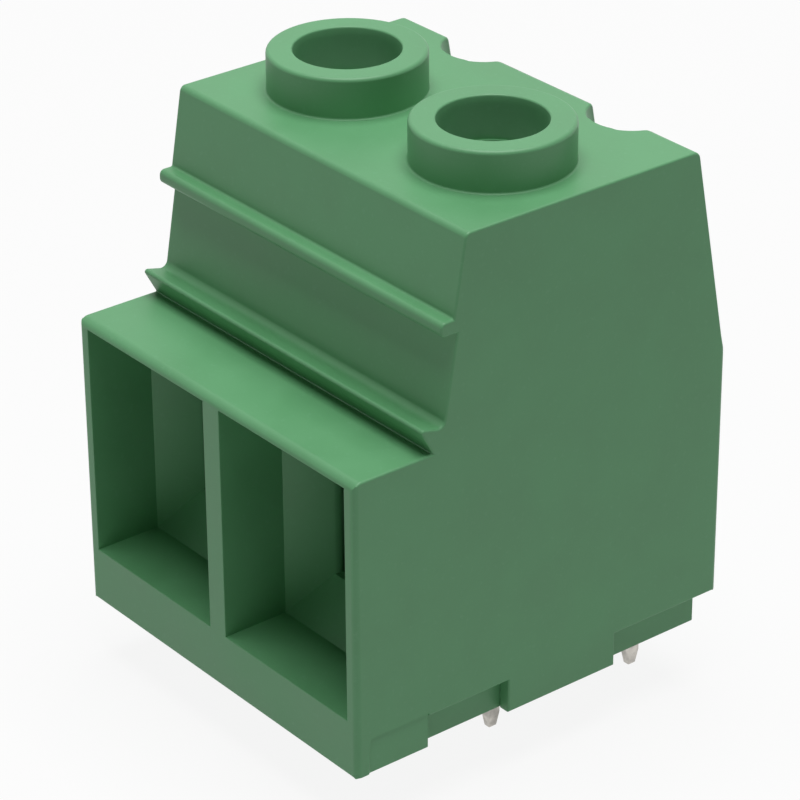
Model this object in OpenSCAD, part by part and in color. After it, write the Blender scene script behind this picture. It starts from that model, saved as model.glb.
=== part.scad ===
// Two-pole screw terminal for a printed circuit board, for heavy conductors.
// X runs across the poles, +Y points from the wire entries to the rear wall, +Z points up.
// The origin is on the board's surface, midway between the two screw axes.
// In the outlines, "d" is the depth behind the wire-entry face and "z" the height over the board.

/* [Housing] */
// Distance between the two screw axes
pitch = 15; // [14.8:0.1:18]
// Depth from the wire-entry face to the rear wall
depth = 31.4; // [30.6:0.1:34]
// Height of the roof over the board
roof_z = 36.2; // [35.6:0.1:39]
// Height of the shelf over the wire mouths
shelf_z = 21.75; // [21.2:0.05:22.6]
// Depth of the screw axes behind the wire-entry face
screw_d = 17.35; // [17:0.05:18.2]
// Thickness of the end walls around the base
end_wall = 0.9; // [0.7:0.05:1]
// Thickness of the rear wall
rear_wall = 1.2; // [0.9:0.05:1.5]
// Height at which the rear wall starts to lean in
rear_break_z = 20.5; // [17:0.5:24]
// Lean of the rear wall above that height, in degrees
rear_lean = 10.5; // [6:0.5:12]
// Radius of the roof's rear edge
rear_edge_r = 0.6; // [0.3:0.1:1]
// Radius of the roof's front edge and of the upright corners
edge_r = 0.45; // [0.2:0.05:0.7]
// Radius of the shelf's front edge
shelf_edge_r = 0.7; // [0.3:0.1:0.9]

/* [Wire mouths] */
// Wall outside each mouth
mouth_wall = 1.0; // [0.8:0.05:1.4]
// Wall between the two mouths
divider = 1.75; // [1.2:0.05:2.4]
// Height of the mouth's floor over the board
sill_z = 4.1; // [3.4:0.1:5]
// Thickness of the shelf over the mouth
lintel = 0.62; // [0.5:0.02:1.2]
// Depth of the mouth's straight walls
mouth_depth = 5; // [4:0.1:5.6]
// Depth of the funnel behind them
funnel_depth = 2.7; // [2:0.1:3]
// Thickness of the wall that the wire hole pierces, at the hole's edge
throat_wall = 0.6; // [0.5:0.1:1.2]
// Width of the wire hole
hole_w = 9.2; // [8:0.1:10.4]
// Height of the wire hole
hole_h = 10.1; // [9:0.1:10.6]
// Height of the wire hole's lower edge over the board
hole_z = 7; // [6.6:0.1:7.6]

/* [Label channel] */
// Depth of the channel wall behind the wire-entry face, at the lower lip's height
channel_d = 7.3; // [7.1:0.05:7.6]
// Height of the lower lip's tip
lip_z = 23.66; // [23.4:0.02:24]
// How far the lower lip's tip stands out from the channel wall
lip_reach = 1.85; // [1.3:0.05:2.2]
// Depth of the lip's root behind the wire-entry face
lip_root_d = 6.35; // [6:0.05:6.8]
// Depth of the valley behind the lower lip's tip
valley = 0.28; // [0.1:0.02:0.5]
// Radius of the fillet behind the lower lip
lip_fillet = 0.5; // [0.3:0.05:0.8]
// Height of the upper rib's underside
rib_z = 29.6; // [28:0.1:31]
// Thickness of the upper rib
rib_t = 1; // [0.7:0.05:1.4]
// How far the upper rib stands out from the wall above it
rib_reach = 1.02; // [0.6:0.02:1.4]
// Lean of the front wall from plumb, in degrees
front_lean = 9.6; // [6:0.2:11]
// How far the channel is sunk behind the wall above the rib
channel_sink = 0.45; // [0.2:0.05:0.6]

/* [Screw collars] */
// Outer radius of a collar
collar_r = 5.43; // [5:0.01:6.2]
// Radius of the collar's mouth, where a lead-in narrows to the screwdriver's guide bore
mouth_r = 3.65; // [3.6:0.01:4.2]
// Depth of that lead-in below the collar's rim
lead_in = 0.65; // [0.3:0.05:1.2]
// Height of a collar over the roof
collar_h = 2.9; // [2:0.1:4]
// Radius of a collar's outer rim
rim_r = 0.28; // [0.1:0.02:0.5]
// Fillet where a collar meets the roof
collar_fillet = 0.15; // [0.1:0.05:0.6]

/* [Rear scallops] */
// Radius of the scallop in the roof's rear edge
scallop_r = 2.9; // [2:0.1:3.4]
// How far the scallop reaches in from the line of the rear wall
scallop_in = 2.14; // [1.2:0.02:2.4]
// Radius of the corners where the scallop meets the rear wall
scallop_edge_r = 0.5; // [0.2:0.05:0.9]
// Length of the scallop down the rear wall
scallop_h = 5; // [3:0.5:7]

/* [Feet] */
// Height of the side notches, and of the rear wall's lower edge
notch_z = 2.5; // [1.5:0.1:3.5]
// Length of the front foot
front_foot = 5.95; // [4:0.05:7]
// Depth of the middle foot's front end behind the wire-entry face
mid_foot_d = 12.75; // [11:0.05:14]
// Length of the middle foot
mid_foot = 9.35; // [6:0.05:11]
// Height of the thinner panel on the side of the front foot
panel_z = 2.75; // [1.5:0.05:3.5]
// How far that panel is set back
panel_set = 0.12; // [0.05:0.01:0.2]
// Depth of the panel's front edge behind the wire-entry face
panel_d = 1.1; // [0.6:0.1:2]

/* [Base] */
// Height of the base's side walls over the board
base_h = 3.9; // [3.2:0.05:4.2]
// Thickness of the base's floor
base_floor = 1.6; // [1:0.1:1.7]
// Thickness of the base's side walls
base_wall = 1.3; // [0.8:0.05:1.4]
// Gap between the base and the housing
base_clear = 0.05; // [0.03:0.01:0.1]
// Depth of the base's front end behind the wire-entry face
base_d = 6.25; // [6.1:0.05:6.8]

/* [Current bar] */
// Thickness of the strip
bar_t = 1; // [0.8:0.05:1.1]
// Width of the strip
bar_w = 8.8; // [7.6:0.1:9]
// Inner radius of the strip's bends
bend_r = 0.8; // [0.5:0.1:1]
// Height of the lower limb's underside over the board
limb_z = 2.6; // [2.2:0.1:3]
// Width of the lower limb, between the rear pins
limb_w = 3.2; // [2.6:0.1:3.3]
// Distance between the two pins of a row
pin_gap_x = 5.08; // [4.8:0.02:6]
// Distance between the front and the rear row of pins
pin_gap_y = 12.7; // [10:0.1:13]
// Width of a pin across the poles
pin_w = 0.8; // [0.6:0.05:1]
// Length of a pin under the board's surface
pin_l = 4.5; // [3:0.1:6]
// Length of a pin's tapered tip
pin_tip = 1.1; // [0.5:0.1:1.5]

/* [Tension sleeve] */
// Length of the sleeve along the wire
sleeve_l = 13.6; // [11:0.1:13.8]
// Thickness of the sleeve's strip
sleeve_t = 1.5; // [1.1:0.05:1.6]
// Inner radius of the sleeve's bends
sleeve_r = 1; // [0.5:0.1:1.4]
// Gap on each side between the sleeve and what it slides along
slide_clear = 0.3; // [0.2:0.02:0.38]
// Gap ahead of and behind the sleeve in its shaft
end_clear = 0.45; // [0.3:0.05:0.5]
// Gap left under the current bar with the sleeve drawn all the way up
closed_gap = 0.3; // [0.2:0.05:0.6]
// Number of grip grooves across the sleeve's floor
grooves = 7; // [3:1:9]
// Depth of a grip groove
groove_deep = 0.3; // [0.15:0.05:0.4]

/* [Screws] */
// Diameter of the thread
thread_d = 6; // [5:0.1:6]
// Gap between the thread and the sleeve's tapped hole
thread_clear = 0.05; // [0.02:0.01:0.09]
// Diameter of the head
head_d = 6.4; // [6:0.05:6.4]
// Height of the head
head_h = 2.4; // [2:0.1:3]
// Width of the screwdriver slot
slot_w = 1.2; // [0.8:0.05:1.6]
// Depth of the screwdriver slot
slot_deep = 1.3; // [0.8:0.05:1.6]
// Angle of the left screw's slot at rest
slot_left = 28; // [0:1:180]
// Angle of the right screw's slot at rest
slot_right = 152; // [0:1:180]

/* [Hidden] */
$fn = 72;
EPS = 0.01;            // overlap that makes a cut run past a face
THROUGH = 60;          // length of a cut that runs right through
ARC_STEPS = 6;         // segments in a rounded edge of an outline
ROOM = 0.1;            // room left where two pieces pass or rest and no fit is needed
PIN_ROOM = 3 * ROOM;   // room round a pin where it passes the base

width = 2 * pitch;     // a two-pole housing is two pitches wide
pole_x = pitch / 2;
rear_draft = 0.1;      // the rear wall stands this much further out at its foot
rear_blend = 1.5;      // height over which it gets there
bay_rise = 5.5;        // height of the rear bay over the rear wall's break

// Heights, from the board up
sleeve_floor_z = hole_z - ROOM;
bar_z = hole_z + hole_h + ROOM;
bar_top_z = bar_z + bar_t;
sleeve_roof_z = bar_top_z + slide_clear;
sleeve_top_z = sleeve_roof_z + 2 * sleeve_t;
travel = bar_z - sleeve_floor_z - closed_gap;
shaft_top_z = sleeve_top_z + travel + end_clear;
head_web = 1.3;        // plastic between the shaft and the screw's head
head_seat_z = shaft_top_z + head_web;
head_z = head_seat_z + 2 * ROOM;
head_top_z = head_z + head_h;
collar_top_z = roof_z + collar_h;
tip_z = bar_top_z + ROOM / 2;
chamber_top_z = sleeve_top_z + sleeve_t / 2;
bay_top_z = rear_break_z + bay_rise;

// Widths across one pole
sleeve_in_w = bar_w + 2 * slide_clear;
sleeve_w = sleeve_in_w + 2 * sleeve_t;
shaft_w = sleeve_w + 2 * slide_clear;

// Depths behind the wire-entry face
throat_d = mouth_depth + funnel_depth;
chamber_d = throat_d + throat_wall;
shaft_front_d = screw_d - sleeve_l / 2 - end_clear;
shaft_rear_d = screw_d + sleeve_l / 2 + end_clear;
partition = 1.2;       // rib between the sleeve's shaft and the rear bay
bay_d = shaft_rear_d + partition;
bay_rear_d = depth - rear_wall;
base_rear_d = bay_rear_d - base_clear;
bar_front_d = chamber_d + ROOM;
rear_pin_d = base_rear_d - base_wall - PIN_ROOM - bar_t / 2;
front_pin_d = rear_pin_d - pin_gap_y;

// Screw sizes
thread_r = thread_d / 2 - thread_clear;
head_bore_r = head_d / 2 + ROOM;
guide_r = mouth_r - ROOM;
guide_z = head_top_z + 2 * ROOM;

function lean_d(z) = depth - rear_draft - tan(rear_lean) * (z - rear_break_z);
function wall_d(z) = channel_d + tan(front_lean) * (z - lip_z);
function arc(c, r, a0, a1) =
    [for (i = [0 : ARC_STEPS]) let (a = a0 + (a1 - a0) * i / ARC_STEPS) c + r * [cos(a), sin(a)]];

// An outline drawn as (d, z) and pulled out across the poles, from x0 to x0 + length
module across(x0, length) {
    translate([x0, -screw_d, 0]) rotate([90, 0, 90]) linear_extrude(length) children();
}

// A block given by its limits in x, d and z
module block(x, d, z) {
    translate([x[0], d[0] - screw_d, z[0]]) cube([x[1] - x[0], d[1] - d[0], z[1] - z[0]]);
}

// The same shape at the left and at the right pole, mirrored
module each_pole() {
    children();
    mirror([1, 0, 0]) children();
}

// Side view of the housing, without notches and hollows
module housing_outline() {
    lip_d = channel_d - lip_reach;
    valley_z = lip_z - valley + lip_fillet;
    rib_wall_d = wall_d(rib_z + rib_t) - channel_sink;
    rib_d = rib_wall_d - rib_reach;
    rib_r = rib_t * 0.38;
    front_c = [rib_wall_d + tan(front_lean) * (roof_z - edge_r - rib_z - rib_t)
               + edge_r / cos(front_lean), roof_z - edge_r];
    rear_c = [lean_d(roof_z - rear_edge_r) - rear_edge_r / cos(rear_lean), roof_z - rear_edge_r];
    lip_r = 0.2;
    foot_r = 0.4;
    polygon(concat(
        [[0, 0]],
        arc([shelf_edge_r, shelf_z - shelf_edge_r], shelf_edge_r, 180, 90),
        [[lip_root_d, shelf_z]],
        arc([lip_d + lip_r, lip_z - lip_r], lip_r, 210, 80),
        arc([wall_d(valley_z) - lip_fillet / cos(front_lean), valley_z], lip_fillet, -105, -front_lean),
        [[wall_d(rib_z), rib_z]],
        arc([rib_d + rib_r, rib_z + rib_r], rib_r, 270, 180),
        arc([rib_d + rib_r, rib_z + rib_t - rib_r], rib_r, 180, 90),
        [[rib_wall_d, rib_z + rib_t]],
        arc(front_c, edge_r, 180 - front_lean, 90),
        arc(rear_c, rear_edge_r, 90, rear_lean),
        [[depth - rear_draft, rear_break_z], [depth, rear_break_z - rear_blend]],
        arc([depth - foot_r, notch_z + foot_r], foot_r, 0, -90),
        [[bay_rear_d, notch_z], [bay_rear_d, 0]]
    ));
}

// Plan view of the housing: a rectangle with rounded upright corners
module housing_plan() {
    x = width / 2 - edge_r;
    y = [edge_r, depth - edge_r];
    translate([0, -screw_d]) polygon(concat(
        arc([-x, y[0]], edge_r, 180, 270),
        arc([x, y[0]], edge_r, -90, 0),
        arc([x, y[1]], edge_r, 0, 90),
        arc([-x, y[1]], edge_r, 90, 180)
    ));
}

// Wire mouth of the right pole: straight walls, then a funnel, then the wire hole
module wire_way() {
    mouth_x = [divider / 2, width / 2 - mouth_wall];
    mouth_z = [sill_z, shelf_z - lintel];
    hole_x = [pole_x - hole_w / 2, pole_x + hole_w / 2];
    hole_top_z = hole_z + hole_h;
    block(mouth_x, [-1, mouth_depth + EPS], mouth_z);
    intersection() {
        translate([0, -screw_d, 0]) linear_extrude(THROUGH) polygon([
            [mouth_x[0], mouth_depth], [mouth_x[1], mouth_depth],
            [hole_x[1], throat_d + EPS], [hole_x[0], throat_d + EPS]]);
        across(0, width) polygon([
            [mouth_depth, mouth_z[0]], [mouth_depth, mouth_z[1]],
            [throat_d + EPS, hole_top_z], [throat_d + EPS, hole_z]]);
    }
    block(hole_x, [throat_d, chamber_d + EPS], [hole_z, hole_top_z]);
}

// Hollow of the right pole: chamber, sleeve shaft and rear bay, all open below
module clamp_hollow() {
    shaft_x = [pole_x - shaft_w / 2, pole_x + shaft_w / 2];
    slot_x = [pole_x - bar_w / 2 - ROOM, pole_x + bar_w / 2 + ROOM];
    block(shaft_x, [chamber_d, shaft_rear_d], [0, chamber_top_z]);
    block(shaft_x, [shaft_front_d, shaft_rear_d], [0, shaft_top_z]);
    block(slot_x, [shaft_rear_d - EPS, bay_d + EPS], [0, bar_top_z + ROOM]);
    across(shaft_x[0], shaft_w) polygon([
        [bay_d, 0], [bay_rear_d, 0], [bay_rear_d, rear_break_z],
        [lean_d(bay_top_z) - rear_wall, bay_top_z], [bay_d, bay_top_z]]);
}

// Stepped bore that the right screw goes down: shank hole, head bore, screwdriver's guide
module screw_bore() {
    translate([pole_x, 0, 0]) {
        translate([0, 0, shaft_top_z - EPS]) cylinder(r = thread_d / 2 + 2 * ROOM, h = THROUGH);
        translate([0, 0, head_seat_z]) cylinder(r = head_bore_r, h = THROUGH);
        translate([0, 0, guide_z]) cylinder(r = guide_r, h = THROUGH);
    }
}

// Collar of the right pole, with a lead-in, rounded rims and a fillet at its foot
module collar() {
    root_z = roof_z - 0.5;
    inner_r = rim_r / 2;
    translate([pole_x, 0, 0]) rotate_extrude() polygon(concat(
        [[guide_r, root_z], [guide_r, collar_top_z - lead_in]],
        arc([mouth_r + inner_r, collar_top_z - inner_r], inner_r, 180, 90),
        arc([collar_r - rim_r, collar_top_z - rim_r], rim_r, 90, 0),
        arc([collar_r + collar_fillet, roof_z + collar_fillet], collar_fillet, 180, 270),
        [[collar_r + collar_fillet, root_z]]
    ));
}

// Scallop down the rear wall of the right pole, parallel to the leaning wall, with round corners
module scallop() {
    axis = scallop_r - scallop_in;
    edge_y = 2 * EPS - scallop_edge_r;
    between = scallop_r + scallop_edge_r;
    turn = asin((axis - edge_y) / between);
    edge_x = between * cos(turn);
    translate([pole_x, lean_d(roof_z) - screw_d, roof_z]) rotate([rear_lean, 0, 0])
        translate([0, 0, -scallop_h]) {
            linear_extrude(2 * scallop_h) polygon(concat(
                arc([edge_x, edge_y], scallop_edge_r, 90, 180 - turn),
                arc([-edge_x, edge_y], scallop_edge_r, turn, 90),
                [[-edge_x, scallop_r], [edge_x, scallop_r]]
            ));
            translate([0, axis, 0]) cylinder(r = scallop_r, h = 2 * scallop_h);
        }
}

// Notches and thin panel at the foot of the right end wall
module foot_cuts() {
    x = [width / 2 - end_wall - EPS, THROUGH];
    block(x, [front_foot, mid_foot_d], [-1, notch_z]);
    block(x, [mid_foot_d + mid_foot, THROUGH], [-1, notch_z]);
    block([width / 2 - panel_set, THROUGH], [panel_d, front_foot + EPS], [-1, panel_z]);
}

module housing() {
    core_wall = 1.2;
    color([0.30, 0.52, 0.35]) difference() {
        union() {
            intersection() {
                across(-width / 2, width) housing_outline();
                linear_extrude(THROUGH) housing_plan();
            }
            each_pole() collar();
        }
        each_pole() {
            wire_way();
            clamp_hollow();
            screw_bore();
            scallop();
            foot_cuts();
            block([core_wall / 2, width / 2 - core_wall], [core_wall, mouth_depth],
                  [-1, sill_z - core_wall]);
        }
        block([-width / 2 + end_wall, width / 2 - end_wall], [base_d - base_clear, bay_rear_d + EPS],
              [-1, base_h + base_clear]);
    }
}

// Tray that closes the housing from below and that the pins pass through
module base() {
    half = width / 2 - end_wall - base_clear;
    web = pitch - shaft_w;
    pin_hole = [pin_w + 2 * PIN_ROOM, bar_t + 2 * PIN_ROOM];
    rest_l = 1.2;
    rests_d = [front_pin_d + 2 * bend_r + bar_t, rear_pin_d - 2 * bend_r - 2 * bar_t];
    color([0.28, 0.49, 0.33]) difference() {
        union() {
            difference() {
                block([-half, half], [base_d, base_rear_d], [0, base_h]);
                each_pole() block([web / 2, half - base_wall],
                                  [base_d + base_wall, base_rear_d - base_wall],
                                  [base_floor, THROUGH]);
            }
            // Rests under the tongues of the current bars
            each_pole() for (d = rests_d)
                block([pole_x - limb_w / 2, pole_x + limb_w / 2], [d - rest_l / 2, d + rest_l / 2],
                      [base_floor - EPS, limb_z]);
        }
        each_pole() for (x = [-1, 1] * pin_gap_x / 2, d = [front_pin_d, rear_pin_d])
            translate([pole_x + x - pin_hole[0] / 2, d - screw_d - pin_hole[1] / 2, -1])
                cube([pin_hole[0], pin_hole[1], base_floor + 2]);
    }
}

// Side view of the strip: upper limb, rear limb, and the tongue that runs forward below
module bar_outline() {
    rear = [rear_pin_d - bar_t / 2, rear_pin_d + bar_t / 2];
    out_r = bend_r + bar_t;
    top_c = [rear[1] - out_r, bar_top_z - out_r];
    low_c = [rear[1] - out_r, limb_z + out_r];
    tab_c = [front_pin_d - bar_t / 2 + out_r, limb_z + bar_t - out_r];
    polygon(concat(
        [[bar_front_d, bar_z], [bar_front_d, bar_top_z]],
        arc(top_c, out_r, 90, 0),
        arc(low_c, out_r, 0, -90),
        arc(tab_c, bend_r, 90, 180),
        [[front_pin_d + bar_t / 2, base_floor], [front_pin_d - bar_t / 2, base_floor]],
        arc(tab_c, out_r, 180, 90),
        arc(low_c, bend_r, -90, 0),
        arc(top_c, bend_r, 0, 90)
    ));
}

// Outline of a solder pin with a tapered tip, as wide as w
module pin_outline(w, top_z) {
    taper = 0.65;
    tip = w * taper / 2;
    taper_z = pin_tip - pin_l;
    polygon([[-w / 2, top_z], [-w / 2, taper_z], [-tip, -pin_l],
             [tip, -pin_l], [w / 2, taper_z], [w / 2, top_z]]);
}

// One solder pin, tapered on all four sides, with its axis on Z
module solder_pin(top_z) {
    intersection() {
        rotate([90, 0, 0]) linear_extrude(2 * bar_t, center = true) pin_outline(pin_w, top_z);
        rotate([90, 0, 90]) linear_extrude(2 * pin_w, center = true) pin_outline(bar_t, top_z);
    }
}

// The current bar of the right pole, bent from one strip
module current_bar() {
    shoulder_z = limb_z + 2 * bar_t + bend_r;
    foot_z = base_floor + ROOM;
    leg_w = pin_w + bar_t / 2;
    head_w = pin_gap_x + pin_w;
    head_d = front_pin_d + bar_t / 2 + bend_r;
    rear = [rear_pin_d - bar_t / 2, rear_pin_d + bar_t / 2];
    color([0.80, 0.79, 0.75]) {
        difference() {
            intersection() {
                across(pole_x - bar_w / 2, bar_w) bar_outline();
                union() {
                    block([pole_x - bar_w / 2, pole_x + bar_w / 2], [0, depth],
                          [shoulder_z, THROUGH]);
                    block([pole_x - limb_w / 2, pole_x + limb_w / 2], [head_d, depth],
                          [0, shoulder_z + EPS]);
                    block([pole_x - head_w / 2, pole_x + head_w / 2], [0, head_d + EPS],
                          [0, shoulder_z]);
                }
            }
            // Gap between the front pins, below their bend
            block([pole_x - head_w / 2 + pin_w, pole_x + head_w / 2 - pin_w], [0, head_d],
                  [0, limb_z - bend_r]);
        }
        for (x = [pole_x - pin_gap_x / 2, pole_x + pin_gap_x / 2]) {
            translate([x, front_pin_d - screw_d, 0]) solder_pin(limb_z - bend_r);
            translate([x, rear_pin_d - screw_d, 0]) solder_pin(foot_z + EPS);
            block([x - leg_w / 2, x + leg_w / 2], rear, [foot_z, shoulder_z + EPS]);
        }
    }
}

// Front view of the sleeve: a strip folded round the wire space and lapped on top
module sleeve_outline() {
    x = sleeve_in_w / 2;
    r = sleeve_r;
    o = sleeve_r + sleeve_t;
    lap_x = -x + o;
    difference() {
        polygon(concat(
            arc([-x + r, sleeve_floor_z + r], o, 180, 270),
            arc([x - r, sleeve_floor_z + r], o, -90, 0),
            arc([x - r, sleeve_top_z - o], o, 0, 90),
            [[lap_x, sleeve_top_z], [lap_x, sleeve_roof_z + sleeve_t]],
            arc([-x + r, sleeve_roof_z - r], o, 90, 180)
        ));
        polygon(concat(
            arc([-x + r, sleeve_floor_z + r], r, 180, 270),
            arc([x - r, sleeve_floor_z + r], r, -90, 0),
            arc([x - r, sleeve_roof_z - r], r, 0, 90),
            arc([-x + r, sleeve_roof_z - r], r, 90, 180)
        ));
    }
}

// The tension sleeve of the right pole, tapped through both layers of its top
module sleeve() {
    groove_side = groove_deep * sqrt(2);
    groove_w = sleeve_in_w - 2 * sleeve_r;
    step = sleeve_l / (grooves + 1);
    color([0.66, 0.67, 0.68]) translate([pole_x, 0, 0]) difference() {
        translate([0, sleeve_l / 2, 0]) rotate([90, 0, 0]) linear_extrude(sleeve_l) sleeve_outline();
        translate([0, 0, sleeve_roof_z - sleeve_t / 2]) cylinder(d = thread_d, h = THROUGH);
        for (i = [1 : grooves]) translate([0, i * step - sleeve_l / 2, sleeve_floor_z])
            rotate([45, 0, 0]) cube([groove_w, groove_side, groove_side], center = true);
    }
}

// The clamping screw, with its axis on Z
module screw(slot_angle) {
    chamfer = 0.25;
    tip_r = thread_r * 0.7;
    point_h = thread_r - tip_r;
    color([0.42, 0.43, 0.44]) difference() {
        rotate_extrude() polygon([
            [0, tip_z], [tip_r, tip_z], [thread_r, tip_z + point_h], [thread_r, head_z],
            [head_d / 2, head_z], [head_d / 2, head_top_z - chamfer],
            [head_d / 2 - chamfer, head_top_z], [0, head_top_z]]);
        rotate([0, 0, slot_angle]) translate([-head_d, -slot_w / 2, head_top_z - slot_deep])
            cube([2 * head_d, slot_w, slot_deep + 1]);
    }
}

module current_bar_right() { current_bar(); }
module current_bar_left() { mirror([1, 0, 0]) current_bar(); }
module sleeve_right() { sleeve(); }
module sleeve_left() { mirror([1, 0, 0]) sleeve(); }
module screw_right() { translate([pole_x, 0, 0]) screw(slot_right); }
module screw_left() { translate([-pole_x, 0, 0]) screw(slot_left); }

housing();
base();
current_bar_left();
current_bar_right();
sleeve_left();
sleeve_right();
screw_left();
screw_right();
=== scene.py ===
"""Looks of a two-pole screw terminal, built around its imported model. Lengths are in metres."""
import math

import bmesh
import bpy
from mathutils import Matrix, Vector


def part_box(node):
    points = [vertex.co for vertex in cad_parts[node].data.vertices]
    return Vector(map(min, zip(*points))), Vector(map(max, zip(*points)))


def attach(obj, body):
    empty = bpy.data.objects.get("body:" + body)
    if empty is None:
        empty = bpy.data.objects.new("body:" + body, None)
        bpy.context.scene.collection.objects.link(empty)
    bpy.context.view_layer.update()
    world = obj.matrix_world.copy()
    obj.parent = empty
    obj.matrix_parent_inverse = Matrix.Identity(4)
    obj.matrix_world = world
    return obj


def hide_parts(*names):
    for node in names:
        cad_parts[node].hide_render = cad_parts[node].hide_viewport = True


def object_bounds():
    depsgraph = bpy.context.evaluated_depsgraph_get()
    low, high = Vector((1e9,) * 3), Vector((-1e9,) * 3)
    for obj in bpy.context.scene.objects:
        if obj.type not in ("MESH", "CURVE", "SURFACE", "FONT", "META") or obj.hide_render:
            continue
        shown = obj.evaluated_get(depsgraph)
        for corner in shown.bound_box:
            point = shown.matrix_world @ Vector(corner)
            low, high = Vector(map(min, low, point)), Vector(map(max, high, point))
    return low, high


MM = 0.001
SMOOTH_COSINE = math.cos(math.radians(38))  # faces that meet at less than this angle shade as one

# Camera: where it stands, where it looks, and its roll
CAMERA_PLACE = Vector((167.3, -134.8, 129.6)) * MM
CAMERA_AZIMUTH = math.radians(51.495)
CAMERA_ELEVATION = math.radians(27.916)
CAMERA_ROLL = math.radians(-0.376)
CAMERA_LENS = 161.4

# Colours, linear
GREEN = (0.118, 0.350, 0.158, 1.0)
GREEN_DEEP = (0.104, 0.322, 0.140, 1.0)
GREEN_PALE = (0.200, 0.450, 0.270, 1.0)
TIN = (0.64, 0.61, 0.56, 1.0)
TIN_DULL = (0.26, 0.25, 0.23, 1.0)
ZINC = (0.52, 0.53, 0.54, 1.0)
ZINC_DULL = (0.36, 0.37, 0.38, 1.0)
STEEL = (0.56, 0.57, 0.58, 1.0)
STEEL_DULL = (0.34, 0.345, 0.35, 1.0)

# Screws: the two axes, and the thread that they carry
POLE_X = 7.5 * MM
THREAD_PITCH = 1.0 * MM
THREAD_CREST = 2.94 * MM
THREAD_ROOT = 2.36 * MM
SCREW_TIP = 2.06 * MM
ROOT_SHARE = 0.22
FLANK_SHARE = 0.62
THREAD_SIDES = 48
RINGS_A_TURN = 12
HEAD_RIM = 0.3 * MM
HEAD_DEPTH = 1.6 * MM

# Edges: what counts as sharp, and how far each piece's edges are rounded
SHARP = math.radians(40)
OUTER_ROUND = 0.15 * MM
MOUTH_ROUND = 0.06 * MM
BASE_ROUND = 0.08 * MM
BAR_ROUND = 0.06 * MM
SLEEVE_ROUND = 0.08 * MM
SCREW_ROUND = 0.06 * MM

# Places that sort the housing's edges
TINY = 0.02 * MM
PANEL_STEP = 0.14 * MM      # a little more than the front foot's panel is set back
PANEL_FRONT = 0.9 * MM      # just ahead of the panel, from the front face
PANEL_REAR = -11.3 * MM     # just behind it
PANEL_TOP = 2.8 * MM        # just over it
FRONT_FOOT = 3.0 * MM       # under this, the front face has only its lower edge
MOUTH_FOOT = 4.0 * MM       # over this, it has only the mouths' edges
MOUTH_SIDE = 14.2 * MM
SCALLOP_FRONT = 9.0 * MM
SCALLOP_FOOT = 30.9 * MM

# Stage and light
FLOOR_GAP = 0.02 * MM
FLOOR_SIZE = 1.2
FLOOR_GREY = (0.80, 0.80, 0.80, 1.0)
FLOOR_SHOWN_WHITE = 0.9
WORLD_LIGHT = 0.06
WHITE = (1.0, 1.0, 1.0, 1.0)
LAMP_PLACE = (0.0, 0.02, 0.52)
LAMP_AIM = (0.0, 0.0, 0.018)
LAMP_SIZE = 0.36
LAMP_POWER = 2.7

# Ejector marks under the base: x, y, radius
BASE_MARKS = tuple((x * MM, y * MM, 1.1 * MM) for x in (-12.4, 0.0, 12.4) for y in (-8.5, 8.5))

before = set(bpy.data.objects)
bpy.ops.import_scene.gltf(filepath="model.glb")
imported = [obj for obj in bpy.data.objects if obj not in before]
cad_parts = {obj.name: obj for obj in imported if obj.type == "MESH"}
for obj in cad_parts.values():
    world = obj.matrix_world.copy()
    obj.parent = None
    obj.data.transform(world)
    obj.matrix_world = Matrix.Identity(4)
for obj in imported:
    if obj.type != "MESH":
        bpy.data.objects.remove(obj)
CAD_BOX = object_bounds()


# ---------------------------------------------------------------- materials

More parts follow.
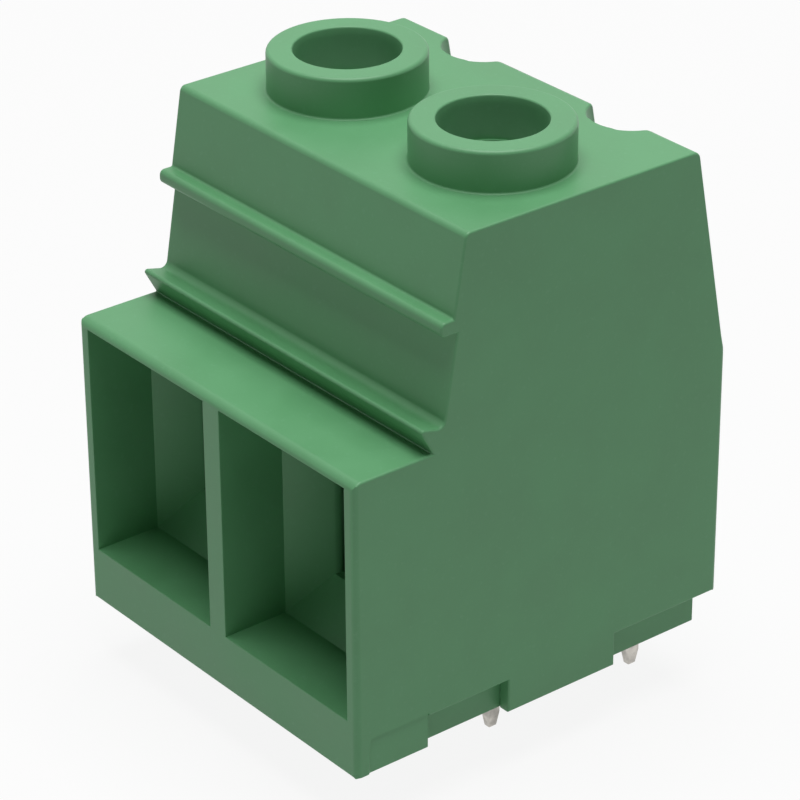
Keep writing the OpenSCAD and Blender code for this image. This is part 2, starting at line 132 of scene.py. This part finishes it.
class Nodes:
    """A material's node tree, with short calls to add and join nodes."""

    def __init__(self, name):
        self.material = bpy.data.materials.new(name)
        self.material.use_nodes = True
        self.tree = self.material.node_tree
        self.tree.nodes.clear()
        self.output = self.add("ShaderNodeOutputMaterial")

    def add(self, kind, **values):
        node = self.tree.nodes.new(kind)
        for key, value in values.items():
            if key in node.inputs:
                node.inputs[key].default_value = value
            else:
                setattr(node, key, value)
        return node

    def join(self, source, target):
        self.tree.links.new(source, target)

    def noise(self, coordinates, scale, detail=2.0, roughness=0.5):
        node = self.add("ShaderNodeTexNoise", Scale=scale, Detail=detail, Roughness=roughness)
        self.join(coordinates, node.inputs["Vector"])
        return node.outputs["Fac"]

    def remap(self, value, low, high, to_low, to_high):
        node = self.add("ShaderNodeMapRange")
        for index, number in zip((1, 2, 3, 4), (low, high, to_low, to_high)):
            node.inputs[index].default_value = number
        self.join(value, node.inputs[0])
        return node.outputs[0]

    def mix_colour(self, factor, first, second):
        node = self.add("ShaderNodeMix", data_type="RGBA")
        for socket, item in ((6, first), (7, second)):
            if isinstance(item, tuple):
                node.inputs[socket].default_value = item
            else:
                self.join(item, node.inputs[socket])
        self.join(factor, node.inputs[0])
        return node.outputs[2]

    def bump(self, height, strength, distance, normal=None):
        node = self.add("ShaderNodeBump", Strength=strength, Distance=distance)
        self.join(height, node.inputs["Height"])
        if normal is not None:
            self.join(normal, node.inputs["Normal"])
        return node.outputs["Normal"]

    def disc(self, coordinates, x, y, radius):
        """1 inside an upright cylinder that stops a little over the board, 0 outside."""
        flat = self.add("ShaderNodeVectorMath", operation="MULTIPLY")
        flat.inputs[1].default_value = (1.0, 1.0, 0.0)
        self.join(coordinates, flat.inputs[0])
        away = self.add("ShaderNodeVectorMath", operation="DISTANCE")
        away.inputs[1].default_value = (x, y, 0.0)
        self.join(flat.outputs[0], away.inputs[0])
        inside = self.remap(away.outputs["Value"], radius - 0.05 * MM, radius, 1.0, 0.0)
        split = self.add("ShaderNodeSeparateXYZ")
        self.join(coordinates, split.inputs[0])
        low = self.remap(split.outputs["Z"], 0.3 * MM, 0.5 * MM, 1.0, 0.0)
        both = self.add("ShaderNodeMath", operation="MULTIPLY")
        self.join(inside, both.inputs[0])
        self.join(low, both.inputs[1])
        return both.outputs[0]


def plastic(name, colour, deep, marks):
    """Moulded plastic: faint clouding, a fine skin, shallow sinks, and ejector marks below."""
    n = Nodes(name)
    place = n.add("ShaderNodeTexCoord").outputs["Object"]
    cloud = n.noise(place, 160.0, 3.0)
    speck = n.noise(place, 2600.0, 2.0)
    skin = n.noise(place, 5200.0, 3.0, 0.6)
    sink = n.noise(place, 95.0, 1.0)
    tint = n.mix_colour(n.remap(cloud, 0.35, 0.65, 0.0, 1.0), deep, colour)
    tint = n.mix_colour(n.remap(speck, 0.60, 0.80, 0.0, 0.16), tint, GREEN_PALE)
    shader = n.add("ShaderNodeBsdfPrincipled")
    n.join(tint, shader.inputs["Base Color"])
    n.join(n.remap(cloud, 0.3, 0.7, 0.42, 0.52), shader.inputs["Roughness"])
    normal = n.bump(sink, 0.20, 0.35 * MM)
    normal = n.bump(skin, 0.10, 0.03 * MM, normal)
    for x, y, radius in marks:
        normal = n.bump(n.disc(place, x, y, radius), 0.6, 0.05 * MM, normal)
    n.join(normal, shader.inputs["Normal"])
    n.join(shader.outputs["BSDF"], n.output.inputs["Surface"])
    return n.material


def metal(name, colour, dull, rough, brush):
    """Plated metal: patchy plating, and drawing marks stretched by the brush vector."""
    n = Nodes(name)
    place = n.add("ShaderNodeTexCoord").outputs["Object"]
    stretch = n.add("ShaderNodeMapping")
    stretch.inputs["Scale"].default_value = brush
    n.join(place, stretch.inputs["Vector"])
    lines = n.noise(stretch.outputs["Vector"], 1500.0, 3.0)
    patch = n.noise(place, 700.0, 4.0, 0.6)
    tint = n.mix_colour(n.remap(patch, 0.35, 0.7, 0.0, 1.0), colour, dull)
    shader = n.add("ShaderNodeBsdfPrincipled", Metallic=1.0)
    n.join(tint, shader.inputs["Base Color"])
    n.join(n.remap(patch, 0.3, 0.7, rough, rough + 0.16), shader.inputs["Roughness"])
    normal = n.bump(lines, 0.25, 0.02 * MM)
    normal = n.bump(patch, 0.15, 0.03 * MM, normal)
    n.join(normal, shader.inputs["Normal"])
    n.join(shader.outputs["BSDF"], n.output.inputs["Surface"])
    return n.material


HOUSING_PLASTIC = plastic("housing_plastic", GREEN, GREEN_DEEP, ())
BASE_PLASTIC = plastic("base_plastic", GREEN, GREEN_DEEP, BASE_MARKS)
TINNED = metal("tinned_copper", TIN, TIN_DULL, 0.28, (1.0, 0.15, 1.0))
PLATED = metal("plated_steel", ZINC, ZINC_DULL, 0.34, (0.15, 1.0, 1.0))
SCREW_STEEL = metal("screw_steel", STEEL, STEEL_DULL, 0.36, (1.0, 1.0, 0.1))


# ---------------------------------------------------------------- meshes

def open_copy(node):
    """A welded bmesh of a CAD node, with flat areas joined into single faces."""
    bm = bmesh.new()
    bm.from_mesh(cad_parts[node].data)
    bmesh.ops.remove_doubles(bm, verts=bm.verts, dist=0.0005 * MM)
    bmesh.ops.dissolve_limit(bm, angle_limit=math.radians(0.4), verts=bm.verts, edges=bm.edges,
                             delimit={"NORMAL"})
    return bm


def edge_angle(edge):
    return edge.calc_face_angle(0.0) if len(edge.link_faces) == 2 else 0.0


def round_edges(bm, chosen, width, segments):
    """Rounds the chosen sharp edges."""
    edges = [e for e in bm.edges if edge_angle(e) > SHARP and chosen(e)]
    bmesh.ops.bevel(bm, geom=edges, offset=width, offset_type="OFFSET", segments=segments,
                    profile=0.5, affect="EDGES", clamp_overlap=False, loop_slide=True)


def weigh_normals(mesh):
    """Normals weighted by face area, so that flat faces stay flat beside rounded edges."""
    around = [[] for _ in mesh.vertices]
    for face in mesh.polygons:
        for v in face.vertices:
            around[v].append((face.normal.copy(), face.area))
    normals = []
    for face in mesh.polygons:
        for v in face.vertices:
            total = Vector()
            for normal, area in around[v]:
                if normal.dot(face.normal) > SMOOTH_COSINE:
                    total += normal * area
            normals.append(total.normalized())
    mesh.normals_split_custom_set(normals)


def finish_piece(bm, name, body, material, slot, *nodes):
    """Makes the bmesh an object that rides on a body and stands for its CAD nodes."""
    mesh = bpy.data.meshes.new(name)
    bm.normal_update()
    bm.to_mesh(mesh)
    bm.free()
    piece = bpy.data.objects.new(name, mesh)
    bpy.context.scene.collection.objects.link(piece)
    mesh.materials.append(material)
    mesh.shade_smooth()
    weigh_normals(mesh)
    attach(piece, body)
    if nodes:
        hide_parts(*nodes)
    return piece


def make_housing():
    """The CAD housing with its outer and its mouth edges rounded."""
    bm = open_copy("housing")
    low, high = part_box("housing")
    front = low.y + TINY

    def in_panel_step(a, b):
        return (max(a.z, b.z) < PANEL_TOP and max(a.y, b.y) < PANEL_REAR
                and min(a.y, b.y) > low.y + PANEL_FRONT and min(a.z, b.z) > TINY
                and abs(a.z - b.z) < TINY)

    def outside(edge):
        ends = [v.co for v in edge.verts]
        if all(abs(abs(p.x) - high.x) < TINY for p in ends):
            return not in_panel_step(*ends)
        if all(p.y < front and p.z < FRONT_FOOT for p in ends):
            return True
        if all(p.y > SCALLOP_FRONT and p.z > SCALLOP_FOOT for p in ends):
            return True
        return all(p.z < TINY and abs(p.x) > high.x - PANEL_STEP for p in ends)

    def at_mouth(edge):
        return all(v.co.y < front and v.co.z > MOUTH_FOOT and abs(v.co.x) < MOUTH_SIDE
                   for v in edge.verts)

    round_edges(bm, outside, OUTER_ROUND, 3)
    round_edges(bm, at_mouth, MOUTH_ROUND, 2)
    return finish_piece(bm, "housing_shell", "housing_body", HOUSING_PLASTIC, "housing_plastic",
                        "housing")


def make_rounded(node, name, body, material, slot, width):
    """A copy of a CAD node with all its sharp edges rounded a little."""
    bm = open_copy(node)
    round_edges(bm, lambda edge: True, width, 2)
    return finish_piece(bm, name, body, material, slot, node)


# ---------------------------------------------------------------- screws

def thread_radius(turn, z):
    """Radius of a right-hand thread with flat crests and roots."""
    phase = (z / THREAD_PITCH - turn) % 1.0
    rise = min(phase, 1.0 - phase) * 2.0
    share = min(1.0, max(0.0, (rise - ROOT_SHARE) / FLANK_SHARE))
    return THREAD_ROOT + (THREAD_CREST - THREAD_ROOT) * share


def add_thread(bm, axis_x, low_z, high_z):
    """A closed point and a threaded wall over it, with its last ring at the crest."""
    count = int(round((high_z - low_z) / THREAD_PITCH * RINGS_A_TURN))
    rings = []
    for k in range(count + 1):
        rise = (high_z - low_z) * k / count
        ring = []
        for i in range(THREAD_SIDES):
            turn = i / THREAD_SIDES
            r = min(THREAD_CREST, SCREW_TIP + rise, thread_radius(turn, low_z + rise))
            if k == count:
                r = THREAD_CREST
            elif k == 0:
                r = min(r, SCREW_TIP)
            a = math.tau * turn
            ring.append(bm.verts.new((axis_x + r * math.cos(a), r * math.sin(a), low_z + rise)))
        rings.append(ring)
    for lower, upper in zip(rings, rings[1:]):
        for i in range(THREAD_SIDES):
            k = (i + 1) % THREAD_SIDES
            bm.faces.new((lower[i], lower[k], upper[k], upper[i]))
    bm.faces.new(list(reversed(rings[0])))


def make_screw(node, name, body, axis_x):
    """The CAD screw with softened edges, and a helical thread at its point."""
    bm = open_copy(node)
    low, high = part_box(node)
    inner_r = (high.x - low.x) / 2 - HEAD_RIM
    thread_top = max(v.co.z for v in bm.verts
                     if math.hypot(v.co.x - axis_x, v.co.y) < inner_r
                     and v.co.z < high.z - HEAD_DEPTH)
    point = [v for v in bm.verts if v.co.z < thread_top - TINY / 2]
    bmesh.ops.delete(bm, geom=point, context="VERTS")
    round_edges(bm, lambda edge: edge.is_manifold, SCREW_ROUND, 2)
    add_thread(bm, axis_x, low.z, thread_top)
    return finish_piece(bm, name, body, SCREW_STEEL, "screw_steel", node)


make_housing()
make_rounded("base", "base_tray", "housing_body", BASE_PLASTIC, "base_plastic", BASE_ROUND)
for side, axis_x in (("left", -POLE_X), ("right", POLE_X)):
    make_rounded("current_bar_" + side, "current_bar_%s_strip" % side, "housing_body", TINNED,
                 "tinned_copper", BAR_ROUND)
    make_rounded("sleeve_" + side, "sleeve_%s_fold" % side, "sleeve_%s_body" % side, PLATED,
                 "plated_steel", SLEEVE_ROUND)
    make_screw("screw_" + side, "screw_%s_turned" % side, "screw_%s_body" % side, axis_x)


# ---------------------------------------------------------------- stage, light, camera

def seen_rays(tree):
    """1 for the rays of the camera, a mirror or glass, 0 for the rays that light the object."""
    rays = tree.nodes.new("ShaderNodeLightPath").outputs
    value = rays["Is Camera Ray"]
    for kind in ("Is Glossy Ray", "Is Transmission Ray"):
        either = tree.nodes.new("ShaderNodeMath")
        either.operation = "MAXIMUM"
        tree.links.new(value, either.inputs[0])
        tree.links.new(rays[kind], either.inputs[1])
        value = either.outputs[0]
    return value


def make_floor():
    n = Nodes("pale_floor")
    diffuse = n.add("ShaderNodeBsdfDiffuse", Color=FLOOR_GREY)
    amount = n.add("ShaderNodeMath", operation="MULTIPLY")
    n.join(seen_rays(n.tree), amount.inputs[0])
    amount.inputs[1].default_value = FLOOR_SHOWN_WHITE
    white = n.add("ShaderNodeEmission", Strength=1.0)
    mix = n.add("ShaderNodeMixShader")
    for source, target in zip((amount, diffuse, white), mix.inputs):
        n.join(source.outputs[0], target)
    n.join(mix.outputs[0], n.output.inputs["Surface"])
    bm = bmesh.new()
    bmesh.ops.create_grid(bm, x_segments=1, y_segments=1, size=FLOOR_SIZE)
    mesh = bpy.data.meshes.new("floor")
    bm.to_mesh(mesh)
    bm.free()
    floor = bpy.data.objects.new("floor", mesh)
    mesh.materials.append(n.material)
    floor.location.z = CAD_BOX[0][2] - FLOOR_GAP
    bpy.context.scene.collection.objects.link(floor)


def make_world():
    """A dim white world that shows as plain white behind the object."""
    world = bpy.data.worlds.new("studio")
    bpy.context.scene.world = world
    world.use_nodes = True
    tree = world.node_tree
    tree.nodes.clear()
    output = tree.nodes.new("ShaderNodeOutputWorld")
    mix = tree.nodes.new("ShaderNodeMixShader")
    tree.links.new(seen_rays(tree), mix.inputs[0])
    for socket, strength in ((1, WORLD_LIGHT), (2, 1.0)):
        glow = tree.nodes.new("ShaderNodeBackground")
        glow.inputs["Color"].default_value = WHITE
        glow.inputs["Strength"].default_value = strength
        tree.links.new(glow.outputs[0], mix.inputs[socket])
    tree.links.new(mix.outputs[0], output.inputs["Surface"])


def make_lamp(name):
    """A square soft lamp that faces the middle of the object."""
    light = bpy.data.lights.new(name, "AREA")
    light.size = LAMP_SIZE
    light.energy = LAMP_POWER
    lamp = bpy.data.objects.new(name, light)
    lamp.location = Vector(LAMP_PLACE)
    aim = Vector(LAMP_AIM) - lamp.location
    lamp.rotation_euler = aim.to_track_quat("-Z", "Y").to_euler()
    bpy.context.scene.collection.objects.link(lamp)


def make_camera():
    azimuth, elevation, roll = CAMERA_AZIMUTH, CAMERA_ELEVATION, CAMERA_ROLL
    ahead = Vector((-math.sin(azimuth) * math.cos(elevation),
                    math.cos(azimuth) * math.cos(elevation), -math.sin(elevation)))
    level = Vector((math.cos(azimuth), math.sin(azimuth), 0.0))
    over = level.cross(ahead)
    right = math.cos(roll) * level + math.sin(roll) * over
    up = math.cos(roll) * over - math.sin(roll) * level
    data = bpy.data.cameras.new("camera")
    data.lens = CAMERA_LENS
    data.sensor_width = 36.0
    data.clip_start = 0.01
    camera = bpy.data.objects.new("camera", data)
    camera.matrix_world = Matrix((
        (right.x, up.x, -ahead.x, CAMERA_PLACE.x),
        (right.y, up.y, -ahead.y, CAMERA_PLACE.y),
        (right.z, up.z, -ahead.z, CAMERA_PLACE.z),
        (0.0, 0.0, 0.0, 1.0)))
    bpy.context.scene.collection.objects.link(camera)
    bpy.context.scene.camera = camera


make_floor()
make_world()
make_lamp("top_lamp")
make_camera()
bpy.context.scene.view_settings.view_transform = "Standard"
